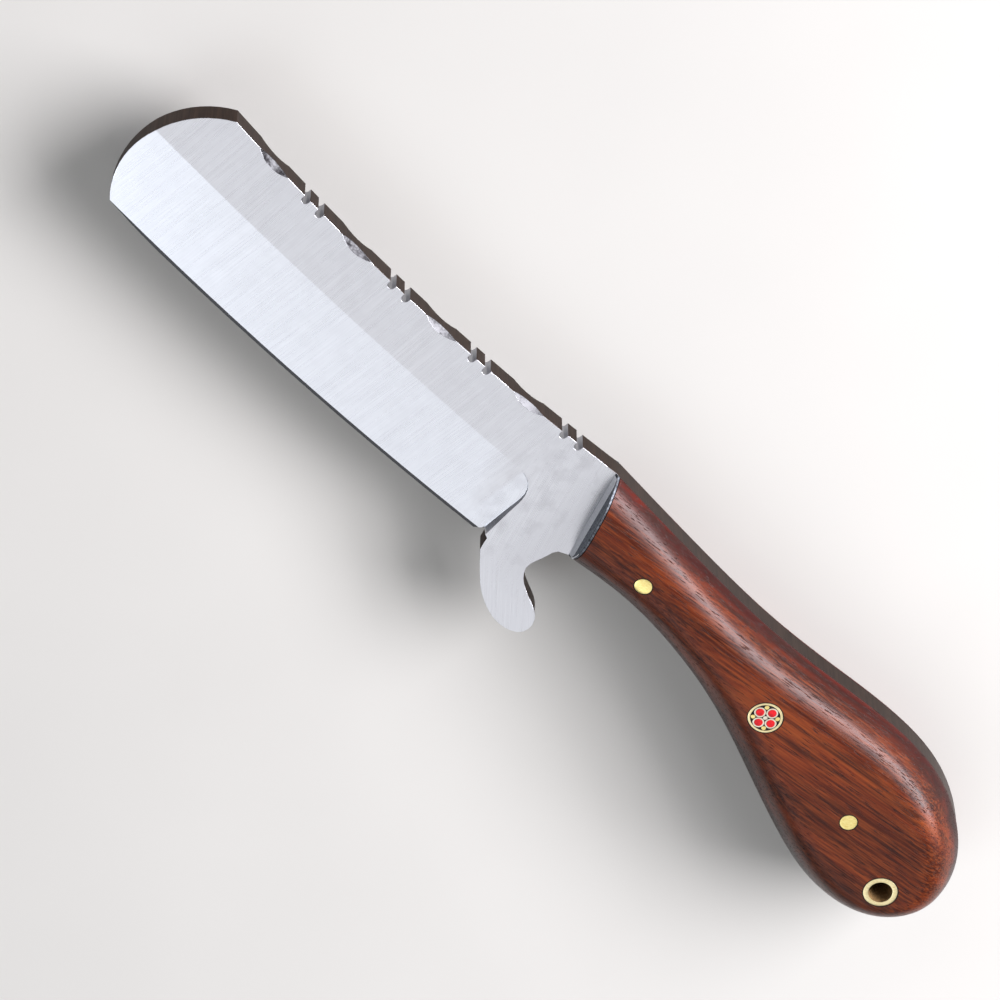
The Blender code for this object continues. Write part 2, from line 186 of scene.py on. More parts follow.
# %% [markdown]
# ## The plan of the handle
# Both scales share one outline with the tang. The frame holds it as short straight runs,
# so it is read off the flat inner face of the near scale and a smooth cubic is drawn
# through its corners. Lengths along that curve then give points as fine as a piece needs.

# %% Read the outline of a scale
def merged_copy(node):
    """A working copy of a CAD node with its loose triangles joined."""
    shape = bmesh.new()
    shape.from_mesh(nodes[node].data)
    bmesh.ops.remove_doubles(shape, verts=shape.verts, dist=SAME_POINT)
    shape.normal_update()
    return shape


def loops_of(edges):
    """Closed chains of points along a set of edges."""
    left = set(edges)
    loops = []
    while left:
        edge = left.pop()
        chain = list(edge.verts)
        while True:
            onward = next((e for e in chain[-1].link_edges if e in left), None)
            if onward is None:
                break
            left.remove(onward)
            chain.append(onward.other_vert(chain[-1]))
        loops.append(np.array([v.co.xy for v in chain[:-1]]))
    return loops


def handle_path():
    """Outline points from the spine at the front, round the butt, to the belly."""
    shape = merged_copy("near_scale")
    flat = {f for f in shape.faces if f.normal.z < -0.999}
    border = {e for f in flat for e in f.edges if sum(g in flat for g in e.link_faces) == 1}
    loop = max(loops_of(border), key=lambda points: np.ptp(points[:, 0]))
    shape.free()
    back, ahead = loop - np.roll(loop, 1, 0), np.roll(loop, -1, 0) - loop
    turn = np.cross(back, ahead) / np.linalg.norm(back, axis=1) / np.linalg.norm(ahead, axis=1)
    first, second = sorted(np.argsort(abs(turn))[-2:])
    halves = loop[first:second + 1], np.concatenate((loop[second:], loop[:first + 1]))
    path = max(halves, key=lambda points: points[:, 0].max())
    return path if path[0][1] > path[-1][1] else path[::-1]


def smooth_through(points):
    """A natural cubic through points: a function of the length along it, and its length."""
    at = np.concatenate(([0.0], np.cumsum(np.linalg.norm(np.diff(points, axis=0), axis=1))))
    gap = np.diff(at)
    slope = np.diff(points, axis=0) / gap[:, None]
    matrix = np.eye(len(points))
    bend = np.zeros_like(points)
    for i in range(1, len(points) - 1):
        matrix[i, i - 1:i + 2] = gap[i - 1], 2 * (gap[i - 1] + gap[i]), gap[i]
        bend[i] = 6 * (slope[i] - slope[i - 1])
    curve = np.linalg.solve(matrix, bend)

    def value(lengths):
        s = np.atleast_1d(lengths)
        i = np.clip(np.searchsorted(at, s, side="right") - 1, 0, len(points) - 2)
        h = gap[i][:, None]
        left, right = (at[i + 1] - s)[:, None], (s - at[i])[:, None]
        cubic = (curve[i] * left ** 3 + curve[i + 1] * right ** 3) / (6 * h)
        ends = (points[i] / h - curve[i] * h / 6) * left
        return cubic + ends + (points[i + 1] / h - curve[i + 1] * h / 6) * right

    return value, at[-1]


outline, outline_length = smooth_through(handle_path())
samples = np.linspace(0, outline_length, 4001)
butt_length = samples[np.argmax(outline(samples)[:, 0])]
front_spine, front_belly = outline(0)[0], outline(outline_length)[0]
print("outline", round(outline_length / MM, 1), "mm, butt at", round(butt_length / MM, 1), "mm")

# %% [markdown]
# ## The crown of a scale
# A scale starts as a flat slab on its plan. Then one rule gives every point of the outer
# face its height: a thin rim at the outline, rising with the distance to it as a cubic
# shoulder, up to a flat top, and that top swells from front to back to fill the palm. A
# Geometry Nodes tree suits a rule like this. Its sizes are inputs, and Geometry Proximity
# gives the distance. Where two shoulders meet in the narrow neck they would leave a
# crease, so the height is blurred a little away from the rim.

# %% A slab on the handle's plan
STATIONS = 220
COLUMNS = 60
EVEN_SHARE = 0.4


def handle_plan():
    """Rows of plan points from the front to the butt, each from spine to belly.

    The points of a row stand closer together at its two ends, where the shoulder is steep.
    """
    even = np.arange(COLUMNS + 1) / COLUMNS
    crowded = (1 - np.cos(np.pi * even)) / 2
    shares = EVEN_SHARE * even + (1 - EVEN_SHARE) * crowded
    rows = []
    for step in range(STATIONS + 1):
        along = step / STATIONS
        upper = outline(butt_length * along)[0]
        lower = outline(outline_length + (butt_length - outline_length) * along)[0]
        rows.append(upper + (lower - upper) * shares[:, None])
    return rows


def slab(name, low, high):
    """A closed slab between two heights; its upper points carry the attribute outer."""
    rows = handle_plan()
    width = COLUMNS + 1
    plan = np.concatenate(rows[:-1] + [rows[-1][:1]])
    end = len(plan) - 1
    rim = [k * width for k in range(STATIONS)] + [end]
    rim += [k * width + COLUMNS for k in reversed(range(STATIONS))]
    rim += range(COLUMNS - 1, 0, -1)
    vertices = [(x, y, high) for x, y in plan] + [(*plan[i], low) for i in rim]
    faces = [tuple(range(len(plan), len(vertices)))]
    for i, corner in enumerate(rim):
        j = (i + 1) % len(rim)
        faces.append((corner, rim[j], len(plan) + j, len(plan) + i))
    for k in range(STATIONS - 1):
        for c in range(COLUMNS):
            a = k * width + c
            faces.append((a, a + 1, a + width + 1, a + width))
    faces += [(end - width + c, end - COLUMNS + c, end) for c in range(COLUMNS)]
    item = mesh_object(name, vertices, faces)
    outer = item.data.attributes.new("outer", "FLOAT", "POINT")
    heights = [v.co.z for v in item.data.vertices]
    outer.data.foreach_set("value", [float(abs(z - high) < SAME_POINT) for z in heights])
    return item


# %% The crowning rule as a node tree
CROWN_SIZES = "Base", "Side", "Rim", "Front Height", "Full Height", "Round Over", "Front", "Swell"
BLUR_STEPS = 12


def new_tree(name, output, **kinds):
    """An empty node tree with its inputs, by name and kind, and one geometry output."""
    tree = bpy.data.node_groups.new(name, "GeometryNodeTree")
    for given, kind in kinds.items():
        label = given.replace("_", " ").title()
        tree.interface.new_socket(label, in_out="INPUT", socket_type="NodeSocket" + kind)
    tree.interface.new_socket(output, in_out="OUTPUT", socket_type="NodeSocketGeometry")
    return tree


def crown_tree():
    kinds = {"slab": "Geometry", "outline": "Object", "wood": "Material"}
    kinds.update((size.replace(" ", "_"), "Float") for size in CROWN_SIZES)
    tree = new_tree("crown_of_a_scale", "Scale", **kinds)
    given = add(tree, "NodeGroupInput").outputs
    at = add(tree, SPLIT, inputs={0: add(tree, "GeometryNodeInputPosition", 0)}).outputs
    plan = add(tree, JOIN, 0, {0: at["X"], 1: at["Y"], 2: 0.0})
    drawn = add(tree, "GeometryNodeObjectInfo", "Geometry", {"Object": given["Outline"]})
    nearest = {"Target": drawn, "Source Position": plan}
    away = add(tree, "GeometryNodeProximity", "Distance", nearest, target_element="EDGES")
    inward = add(tree, RANGE, 0, {0: away, 1: 0.0, 2: given["Round Over"]})
    left = add(tree, MATH, 0, {0: 1.0, 1: inward}, operation="SUBTRACT")
    drop = add(tree, MATH, 0, {0: left, 1: 3.0}, operation="POWER")
    back = add(tree, MATH, 0, {0: given["Front"], 1: given["Swell"]}, operation="ADD")
    swell = {3: given["Front Height"], 4: given["Full Height"]}
    swell.update({0: at["X"], 1: given["Front"], 2: back})
    top = add(tree, RANGE, 0, swell, interpolation_type="SMOOTHSTEP")
    height = add(tree, RANGE, 0, {0: drop, 1: 1.0, 2: 0.0, 3: given["Rim"], 4: top})
    calmed = {"Value": height, "Iterations": BLUR_STEPS, "Weight": inward}
    height = add(tree, "GeometryNodeBlurAttribute", 0, calmed)
    above = add(tree, MATH, 0, {0: given["Base"], 1: height}, operation="ADD")
    level = add(tree, MATH, 0, {0: above, 1: given["Side"], 2: MIDDLE_Z}, operation="MULTIPLY_ADD")
    outer = add(tree, "GeometryNodeInputNamedAttribute", 0, {"Name": "outer"})
    chosen = add(tree, MATH, 0, {0: outer, 1: 0.5}, operation="GREATER_THAN")
    place = add(tree, JOIN, 0, {0: at["X"], 1: at["Y"], 2: level})
    moved = {"Geometry": given["Slab"], "Selection": chosen, "Position": place}
    raised = add(tree, "GeometryNodeSetPosition", 0, moved)
    real = add(tree, "GeometryNodeRealizeInstances", 0, {0: raised})
    dressed = add(tree, "GeometryNodeSetMaterial", 0, {"Geometry": real, "Material": given["Wood"]})
    add(tree, "NodeGroupOutput", inputs={0: dressed})
    return tree


def with_tree(item, tree, **values):
    """Put a node tree on an object and set its inputs by their socket identifiers."""
    modifier = item.modifiers.new(tree.name, "NODES")
    modifier.node_group = tree
    for socket in tree.interface.items_tree:
        key = socket.name.replace(" ", "_").lower()
        if socket.in_out == "INPUT" and key in values:
            modifier[socket.identifier] = values[key]
    return item


# %% [markdown]
# ## Steel finishes
# The blank is flat high-carbon tool steel, belt-ground and then rubbed with fine abrasive
# cloth. That leaves satin lines: across the blade, beside the front plates on the
# ricasso, and along the guard. The lines are a twentieth of a millimetre apart on the
# real surface; here they are drawn about five times as coarse, so that they show. The
# edges of the blank stay as the coarse belt left them, rougher, and are painted dark
# brown as a painted reflection and shade. The filed hollows in the spine are mottled and
# pitted, painted dark grey as painted shade and reflection, and brighter towards the
# handle. The honed edge is painted a darker grey as a painted reflection.

# %% Patterns in millimetres
SATIN_LINE = 0.26
SATIN = {"Scale": 1.0, "Detail": 3.0, "Roughness": 0.7}


def in_millimetres(tree, scale=(1, 1, 1), turn=0.0):
    """Object coordinates in millimetres, turned in plan and stretched for a pattern."""
    place = add(tree, "ShaderNodeTexCoord", "Object")
    size = add(tree, "ShaderNodeMapping", 0, {"Vector": place, "Scale": (1 / MM,) * 3})
    turned = add(tree, "ShaderNodeMapping", 0, {"Vector": size, "Rotation": (0, 0, turn)})
    return add(tree, "ShaderNodeMapping", 0, {"Vector": turned, "Scale": scale})


def new_finish(name):
    """A material with an empty node tree."""
    finish = bpy.data.materials.new(name)
    finish.use_nodes = True
    finish.node_tree.nodes.clear()
    return finish, finish.node_tree


def coat(finish, **surface):
    """Join colour, roughness and the rest to the shader and the shader to the output."""
    sockets = {name.replace("_", " "): value for name, value in surface.items()}
    shader = add(finish.node_tree, "ShaderNodeBsdfPrincipled", "BSDF", sockets)
    add(finish.node_tree, "ShaderNodeOutputMaterial", inputs={"Surface": shader})
    return finish


# %% Satin steel
front_run = front_belly - front_spine
front_run /= np.linalg.norm(front_run)
front_ahead = np.array((front_run[1], -front_run[0]))
FRONT_LEAN = -math.atan2(front_run[0], -front_run[1])
GUARD_LEAN = math.radians(-45)
RICASSO_START = front_spine[0] / MM - 12
GUARD_TOP = -9


def satin_tool_steel():
    finish, tree = new_finish("belt_ground_satin_tool_steel")
    runs = []
    for turn in (0.0, FRONT_LEAN, GUARD_LEAN):
        where = in_millimetres(tree, (1 / SATIN_LINE, 0.06, 0.06), turn)
        runs.append(add(tree, NOISE, 0, {"Vector": where, **SATIN}))
    at = add(tree, SPLIT, inputs={0: in_millimetres(tree)}).outputs
    ricasso = add(tree, RANGE, 0, {0: at["X"], 1: RICASSO_START - 4, 2: RICASSO_START + 3})
    guard = add(tree, RANGE, 0, {0: at["Y"], 1: GUARD_TOP + 3, 2: GUARD_TOP - 5})
    guard = add(tree, MATH, 0, {0: guard, 1: ricasso}, operation="MULTIPLY")
    lines = add(tree, MIX, 0, {0: ricasso, 2: runs[0], 3: runs[1]})
    lines = add(tree, MIX, 0, {0: guard, 2: lines, 3: runs[2]})
    satin = add(tree, RANGE, 0, {0: lines, 1: 0.3, 2: 0.7})
    colour = add(tree, MIX, 2, {0: satin, 6: linear("#CBCCD1"), 7: linear("#D6D7DC")}, **COLOURS)
    rough = add(tree, RANGE, 0, {0: satin, 3: 0.26, 4: 0.31})
    # Faint clouds where the cloth rubbed less: most by the plates, least on the guard
    cloud = add(tree, NOISE, 0, {"Vector": in_millimetres(tree), "Scale": 0.35, "Detail": 5.0})
    cloud = add(tree, RANGE, 0, {0: cloud, 1: 0.40, 2: 0.68, 3: 0.0, 4: 0.6})
    rubbed = add(tree, RANGE, 0, {0: ricasso, 3: 0.25, 4: 1.0})
    cloud = add(tree, MATH, 0, {0: cloud, 1: rubbed}, operation="MULTIPLY")
    by_plates = {0: at["X"], 1: RICASSO_START + 4, 2: RICASSO_START + 13, 3: 0.0, 4: 0.4}
    by_plates = add(tree, RANGE, 0, by_plates)
    cloud = add(tree, MATH, 0, {0: cloud, 1: by_plates}, operation="MAXIMUM")
    cleaner = add(tree, RANGE, 0, {0: guard, 3: 1.0, 4: 0.25})
    cloud = add(tree, MATH, 0, {0: cloud, 1: cleaner}, operation="MULTIPLY")
    colour = add(tree, MIX, 2, {0: cloud, 6: colour, 7: linear("#BABABF")}, **COLOURS)
    # A few tiny pits, each a tenth of a millimetre or two across
    cells = {"Vector": in_millimetres(tree), "Scale": 0.24}
    spots = add(tree, "ShaderNodeTexVoronoi", inputs=cells).outputs
    some = add(tree, "ShaderNodeSeparateColor", 0, {0: spots["Color"]})
    some = add(tree, MATH, 0, {0: some, 1: 0.74}, operation="GREATER_THAN")
    pit = add(tree, RANGE, 0, {0: spots["Distance"], 1: 0.045, 2: 0.03})
    pit = add(tree, MATH, 0, {0: pit, 1: some}, operation="MULTIPLY")
    colour = add(tree, MIX, 2, {0: pit, 6: colour, 7: linear("#55524F")}, **COLOURS)
    # The filed hollows: mottled, dull and pitted, and painted dark grey as painted shade and
    # reflection in the hollows
    where = in_millimetres(tree, (0.5, 0.5, 0.5))
    mottle = add(tree, NOISE, 0, {"Vector": where, "Scale": 1.0, "Detail": 6.0, "Roughness": 0.8})
    bright = add(tree, RANGE, 0, {0: at["X"], 1: -75.0, 2: -22.0, 3: -0.05, 4: 0.12})
    grey = add(tree, MATH, 0, {0: mottle, 1: bright}, operation="ADD")
    grey = add(tree, RANGE, 0, {0: grey, 1: 0.40, 2: 0.62})
    grey = add(tree, MIX, 2, {0: grey, 6: linear("#1F1E20"), 7: linear("#68686B")}, **COLOURS)
    # The edges of the blank: coarse belt lines across the thickness, and a painted dark brown
    # reflection and shade
    where = in_millimetres(tree, (1.8, 1.8, 0.1))
    belt = add(tree, NOISE, 0, {"Vector": where, "Scale": 1.0, "Detail": 4.0, "Roughness": 0.7})
    brown = add(tree, RANGE, 0, {0: belt, 1: 0.3, 2: 0.7})
    brown = add(tree, MIX, 2, {0: brown, 6: linear("#281A13"), 7: linear("#453329")}, **COLOURS)
    # Both go on their own faces, as does a darker grey painted on the honed edge as a painted dark
    # reflection
    honed_painted_reflection = linear("#7B7C80")
    marks = {"filed": (grey, 0.55), "edge_wall": (brown, 0.45), "honed": (honed_painted_reflection, 0.26)}
    share = {}
    for mark, (tone, dullness) in marks.items():
        share[mark] = add(tree, "ShaderNodeAttribute", "Fac", attribute_name=mark)
        colour = add(tree, MIX, 2, {0: share[mark], 6: colour, 7: tone}, **COLOURS)
        rough = add(tree, MIX, 0, {0: share[mark], 2: rough, 3: dullness})
    # The lines, the belt marks and the file's pits also have depth
    pits = add(tree, MATH, 0, {0: mottle, 1: 6.0}, operation="MULTIPLY")
    depth = add(tree, MIX, 0, {0: share["edge_wall"], 2: lines, 3: belt})
    depth = add(tree, MIX, 0, {0: share["filed"], 2: depth, 3: pits})
    bump = add(tree, BUMP, 0, {"Height": depth, "Strength": 0.5, "Distance": 0.005 * MM})
    return coat(finish, Base_Color=colour, Roughness=rough, Normal=bump, Metallic=1.0)


steel = satin_tool_steel()
lean = round(math.degrees(FRONT_LEAN), 1)
print("satin lines", SATIN_LINE, "mm apart, leaning", lean, "degrees by the plates")

# %% [markdown]
# ## The blade, guard and tang
# The frame's blank already has the right shape, cut by the same grind and files as the
# real one. A merged copy of it is enough, with each face named for how it was worked,
# and with its corners broken: a worker always takes the sharp corner off the spine and
# the guard, and that narrow round is what catches the light. The cutting edge and the
# fine lines of the grind stay crisp.

# %% Break the corners of the blank
CORNER_ROUND = 0.06 * MM
CORNER_STEPS = 3
SHARP_TURN = math.radians(24)
CRISP_TURN = math.radians(2.5)
COPLANAR = math.radians(0.05)
KEEN_HEIGHT = 0.8 * MM
FILEWORK_START = steel_low.x + 25 * MM
FILEWORK_DEPTH = 4.5 * MM
NOTCH_FACE = 4 * MM * MM
NOTCH_SHARE = 0.45
UPRIGHT = 0.1
FRONT_CUTS = 0.1 * MM, 0.12 * MM
PAST_CUTS = 0.13 * MM


def behind_front(place, depth=FRONT_CUTS[0]):
    """Whether a place in plan is under the wood, at least a depth behind the front line."""
    return (np.array(place.xy) - front_spine).dot(front_ahead) < SAME_POINT - depth


def in_a_notch(face):
    """The walls of the filed notches are the small upright faces along the spine."""
    middle = face.calc_center_median()
    in_spine = middle.x > FILEWORK_START and middle.y > front_spine[1] - FILEWORK_DEPTH
    return face.calc_area() < NOTCH_FACE and in_spine and not behind_front(middle)


def blade_piece():
    shape = merged_copy("blade_and_tang")
    bmesh.ops.dissolve_limit(
        shape, angle_limit=COPLANAR, use_dissolve_boundaries=False,
        verts=shape.verts, edges=shape.edges, delimit=set(),
    )
    # Two cuts along the front line: the broken corners end between them, under the plates
    across = Vector((*front_ahead, 0))
    for depth in FRONT_CUTS:
        cut_at = Vector((*(front_spine - front_ahead * depth), 0))
        everything = shape.verts[:] + shape.edges[:] + shape.faces[:]
        bmesh.ops.bisect_plane(
            shape, geom=everything, dist=SAME_POINT, plane_co=cut_at, plane_no=across,
        )
    filed = shape.faces.layers.float.new("filed")
    wall = shape.faces.layers.float.new("edge_wall")
    honed = shape.faces.layers.float.new("honed")
    # The way a face leans tells the tool that made it
    for face in shape.faces:
        normal = face.normal
        slope = abs(normal.z)
        notch = slope < UPRIGHT and in_a_notch(face)
        face[wall] = float(slope < UPRIGHT and not notch)
        scallop = 0.25 < slope < 0.97 and normal.y > 0.2
        face[filed] = NOTCH_SHARE if notch else float(scallop)
        face[honed] = float(0.8 < slope < 0.96 and normal.y < -0.3)
        face.smooth = True
    weight = shape.edges.layers.float.new("bevel_weight_edge")
    for edge in shape.edges:
        turn = edge.calc_face_angle(0.0)
        flatness = min(abs(f.normal.z) for f in edge.link_faces)
        keen = max(abs(v.co.z - MIDDLE_Z) for v in edge.verts) < KEEN_HEIGHT
        under_wood = all(behind_front(v.co) for v in edge.verts)
        at_cut = under_wood and not any(behind_front(v.co, PAST_CUTS) for v in edge.verts)
        if turn > SHARP_TURN and not keen and not under_wood:
            edge[weight] = 1.0
        elif at_cut or turn > SHARP_TURN or (flatness > 0.7 and turn > CRISP_TURN):
            edge.smooth = False
    print("filed faces:", sum(face[filed] > 0 for face in shape.faces))
    mesh = bpy.data.meshes.new("blade")
    shape.to_mesh(mesh)
    shape.free()
    item = new_object("blade_guard_and_tang", mesh)
    bevel = item.modifiers.new("broken_corners", "BEVEL")
    bevel.limit_method = "WEIGHT"
    bevel.width = CORNER_ROUND
    bevel.segments = CORNER_STEPS
    bevel.use_clamp_overlap = False
    weighted = item.modifiers.new("even_flats", "WEIGHTED_NORMAL")
    weighted.keep_sharp = True
    return baked(item, smooth=False)


blade = blade_piece()
made_of(blade, steel, "satin_steel", "blade_and_tang")

# %% [markdown]
# ## Rosewood
# Rosewood is a dense, oily hardwood. It is red-brown with purple-black streaks a few
# millimetres wide that run with the grain, finer fibre lines between them, and open
# pores: dark dashes about a sixth of a millimetre wide and a few long. The handle was
# sanded fine, oiled and buffed, so the wood has a soft gloss that breaks at each pore.
# The pattern is solid, through all three axes, so it turns over the shoulders as real
# grain does. It runs at a small angle to the handle. It is darker towards the belly and
# the butt. The steep sides against the tang are painted darker and redder, as painted
# shade.

# %% Rosewood
GRAIN_TURN = math.radians(-7.6)
PORE_WIDTH = 0.16
PORE_LENGTH = 3.2


def oiled_rosewood():
    finish, tree = new_finish("oiled_rosewood")
    grain = {"Scale": 1.0, "Detail": 4.0, "Roughness": 0.6}
    where = in_millimetres(tree, (0.012, 0.14, 0.14), GRAIN_TURN)
    zone = add(tree, NOISE, 0, {"Vector": where, **grain, "Distortion": 0.5})
    at = add(tree, SPLIT, inputs={0: in_millimetres(tree)}).outputs
    butt = add(tree, RANGE, 0, {0: at["X"], 1: 30.0, 2: 105.0, 3: 0.0, 4: 0.09})
    belly = add(tree, RANGE, 0, {0: at["Y"], 1: 6.0, 2: -14.0, 3: 0.0, 4: 0.12})
    for darker in (butt, belly):
        zone = add(tree, MATH, 0, {0: zone, 1: darker}, operation="SUBTRACT")
    colour = add(tree, "ShaderNodeValToRGB", 0, {"Fac": zone}, stops=[
        (0.26, linear("#1C0904")), (0.40, linear("#3B1206")),
        (0.52, linear("#59220D")), (0.66, linear("#783916")),
    ])
    # Painted shade: the steep sides next to the tang are darkened and reddened
    level = add(tree, MATH, 0, {0: at["Z"], 1: MIDDLE_Z / MM}, operation="SUBTRACT")
    level = add(tree, MATH, 0, {0: level}, operation="ABSOLUTE")
    painted_side_shade = add(tree, RANGE, 0, {0: level, 1: 6.5, 2: 3.5}, interpolation_type="SMOOTHSTEP")
    red = {0: painted_side_shade, 6: colour, 7: linear("#A0563E")}
    colour = add(tree, MIX, 2, red, **COLOURS, blend_type="MULTIPLY")
    # Dark streaks, then light fibres
    where = in_millimetres(tree, (0.035, 0.8, 0.8), GRAIN_TURN)
    streak = add(tree, NOISE, 0, {"Vector": where, **grain, "Distortion": 0.3})
    streak = add(tree, RANGE, 0, {0: streak, 1: 0.45, 2: 0.62, 3: 0.0, 4: 0.85})
    colour = add(tree, MIX, 2, {0: streak, 6: colour, 7: linear("#270D07")}, **COLOURS)
    where = in_millimetres(tree, (0.11, 3.0, 3.0), GRAIN_TURN)
    fibre = add(tree, NOISE, 0, {"Vector": where, **grain})
    glow = add(tree, RANGE, 0, {0: fibre, 1: 0.42, 2: 0.66, 3: 0.0, 4: 0.5})
    glow = add(tree, MATH, 0, {0: glow, 1: painted_side_shade}, operation="SUBTRACT", use_clamp=True)
    colour = add(tree, MIX, 2, {0: glow, 6: colour, 7: linear("#773817")}, **COLOURS)
    # Open pores
    across = 0.8 / PORE_WIDTH
    where = in_millimetres(tree, (1 / PORE_LENGTH, across, across), GRAIN_TURN)
    pore = add(tree, NOISE, 0, {"Vector": where, "Scale": 1.0})
    pore = add(tree, RANGE, 0, {0: pore, 1: 0.59, 2: 0.66})
    shade = add(tree, MATH, 0, {0: pore, 1: 0.8}, operation="MULTIPLY")
    colour = add(tree, MIX, 2, {0: shade, 6: colour, 7: linear("#1A0805")}, **COLOURS)
    rough = add(tree, RANGE, 0, {0: fibre, 1: 0.3, 2: 0.7, 3: 0.27, 4: 0.34})
    rough = add(tree, MIX, 0, {0: pore, 2: rough, 3: 0.75})
    depth = add(tree, MATH, 0, {0: fibre, 1: 0.25}, operation="MULTIPLY")
    depth = add(tree, MATH, 0, {0: depth, 1: pore}, operation="SUBTRACT")
    bump = add(tree, BUMP, 0, {"Height": depth, "Strength": 0.6, "Distance": 0.03 * MM})
    gloss = {"Specular_IOR_Level": 0.2, "Specular_Tint": (1.0, 0.93, 0.93, 1.0)}
    return coat(finish, Base_Color=colour, Roughness=rough, Normal=bump, **gloss)


rosewood = oiled_rosewood()
print("pores", PORE_WIDTH, "mm wide and about", PORE_LENGTH, "mm long")

# %% [markdown]
# ## The scales
# Each side gets a slab, the crowning tree and then four drilled holes. The near scale is
# kept for a moment without its holes: everything that was sanded flush with the wood is
# measured against it.

# %% Crown and drill the scales
HOLE_CLEARANCE = 0.2 * MM
DRILL_REACH = 5 * MM
OUTLINE_STEPS = 900
crowning = crown_tree()
drawn_outline = new_object("drawn_outline", bpy.data.meshes.new("drawn_outline"))
steps = outline(np.linspace(0, outline_length, OUTLINE_STEPS))
links = [(i, i + 1) for i in range(len(steps) - 1)]
drawn_outline.data.from_pydata([(x, y, 0) for x, y in steps], links, [])
scale_low, scale_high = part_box("near_scale")
CROWN = {
    "base": SCALE_BASE, "rim": 0.25 * MM, "front_height": 4.6 * MM,
    "full_height": scale_high.z - scale_low.z, "round_over": 8.5 * MM,
    "front": min(front_spine[0], front_belly[0]), "swell": 42 * MM,
}


def crowned(name, side):
    low = MIDDLE_Z + side * SCALE_BASE
    item = slab(name, low, low + side * CROWN["rim"])
    with_tree(item, crowning, outline=drawn_outline, wood=rosewood, side=float(side), **CROWN)
    return baked(item)


def drill(holes, segments=64):
    """Round upright cutters through the whole knife, from centres and radii."""
    points, faces = [], []
    for centre, radius in holes:
        first = len(points)
        for z in (cad_low.z - DRILL_REACH, cad_high.z + DRILL_REACH):
            for step in range(segments):
                angle = math.tau * step / segments
                x = centre.x + radius * math.cos(angle)
                y = centre.y + radius * math.sin(angle)
                points.append((x, y, z))
        lower = [first + i for i in range(segments)]
        upper = [i + segments for i in lower]
        faces += [lower, upper]
        faces += [(lower[i - 1], lower[i], upper[i], upper[i - 1]) for i in range(segments)]
    return mesh_object("drill", points, faces)


def cut_by(item, cutter):
    """The item less the cutter. Both are closed, so the quick manifold solver will do."""
    modifier = item.modifiers.new("cut", "BOOLEAN")
    modifier.operation = "DIFFERENCE"
    modifier.solver = "MANIFOLD"
    modifier.object = cutter
    return baked(item)


undrilled = crowned("undrilled_wood", 1)
drills = drill([(axis_of(node)[0], axis_of(node)[1] + HOLE_CLEARANCE) for node in ROUND_PINS])
for word, side in SIDES.items():
    wood = cut_by(crowned(f"{word}_wood", side), drills)
    made_of(wood, rosewood, "rosewood", f"{word}_scale")

# %% Measure heights on the wood
wood_shape = BVHTree.FromObject(undrilled, bpy.context.evaluated_depsgraph_get())


def wood_height(x, y):
    """Height of the near wood above the middle plane; just past its edge, the edge's."""
    hit = wood_shape.ray_cast(Vector((x, y, cad_high.z + MM)), Vector((0, 0, -1)))[0]
    if hit is None:
        hit = wood_shape.find_nearest(Vector((x, y, MIDDLE_Z + SCALE_BASE + CROWN["rim"])))[0]
    return hit.z - MIDDLE_Z


PALM_STATION = 120
top = max(wood_height(x, y) for x, y in handle_plan()[PALM_STATION][5:-5])
print("wood is", round((top - SCALE_BASE) / MM, 2), "mm thick at the palm")

# %% [markdown]
# ## The front plates
# Where a scale meets the ricasso, a thin dull plate closes it off. Its face is dark and
# pitted, as steel is that was left from the forge, and a light sloping foot of even width
# runs along the ricasso in front of it. A loft across the handle suits it: one small
# section, repeated along the front line and as high as the wood behind it.

# %% Loft the front plates
PLATE_GAP = 0.15
PLATE_THICKNESS = 0.45
PLATE_FOOT = 0.5
PLATE_SINK = 0.12
FOOT_HEIGHT = 1.4
FOOT_SHARE = 0.7
PLATE_COLUMNS = 80
PLATE_ROUND = 0.1


def skin(rings):
    """Faces of a closed skin through rings of equal length, with both ends capped."""
    size = len(rings[0])
    faces = [tuple(range(size)), tuple(range((len(rings) - 1) * size, len(rings) * size))]
    for r in range(len(rings) - 1):
        for i in range(size):
            j = (i + 1) % size
            faces.append((r * size + i, r * size + j, (r + 1) * size + j, (r + 1) * size + i))
    return [point for ring in rings for point in ring], faces


def front_ends(forward):
    """Where a line parallel to the front, further forward, meets the two outlines."""
    ends = []
    for start, onward in ((0.0, 0.5 * MM), (outline_length, outline_length - 0.5 * MM)):
        slope = outline(start)[0] - outline(onward)[0]
        ends.append(outline(start)[0] + slope * forward / slope.dot(front_ahead))
    return ends


def plate_piece(word, side):
    back, face = PLATE_GAP * MM, (PLATE_GAP + PLATE_THICKNESS) * MM
    lines = [front_ends(d) for d in (face + PLATE_FOOT * MM, face, face - PLATE_ROUND * MM, back)]
    rings = []
    for column in range(PLATE_COLUMNS + 1):
        share = (1 - math.cos(math.pi * column / PLATE_COLUMNS)) / 2
        toe, front, edge, rear = [a + (b - a) * share for a, b in lines]
        high = wood_height(*(rear + (rear - front)))
        foot = min(FOOT_HEIGHT * MM, FOOT_SHARE * (high - SCALE_BASE)) + SCALE_BASE
        chamfer = min(PLATE_ROUND * MM, 0.3 * (high - foot))
        section = [
            (toe, SCALE_BASE - PLATE_SINK * MM), (front, foot), (front, high - chamfer),
            (edge, high), (rear, high), (rear, SCALE_BASE - PLATE_SINK * MM),
        ]
        rings.append([(*p, MIDDLE_Z + side * z) for p, z in section])
    item = mesh_object(f"{word}_plate", *skin(rings))
    pitted = item.data.attributes.new("pitted", "FLOAT", "FACE")
    normals = [p.normal for p in item.data.polygons]
    on_foot = [0.25 < abs(n.z) < 0.6 and n.y < 0.6 for n in normals]
    pitted.data.foreach_set("value", [float(not foot) for foot in on_foot])
    return baked(item)


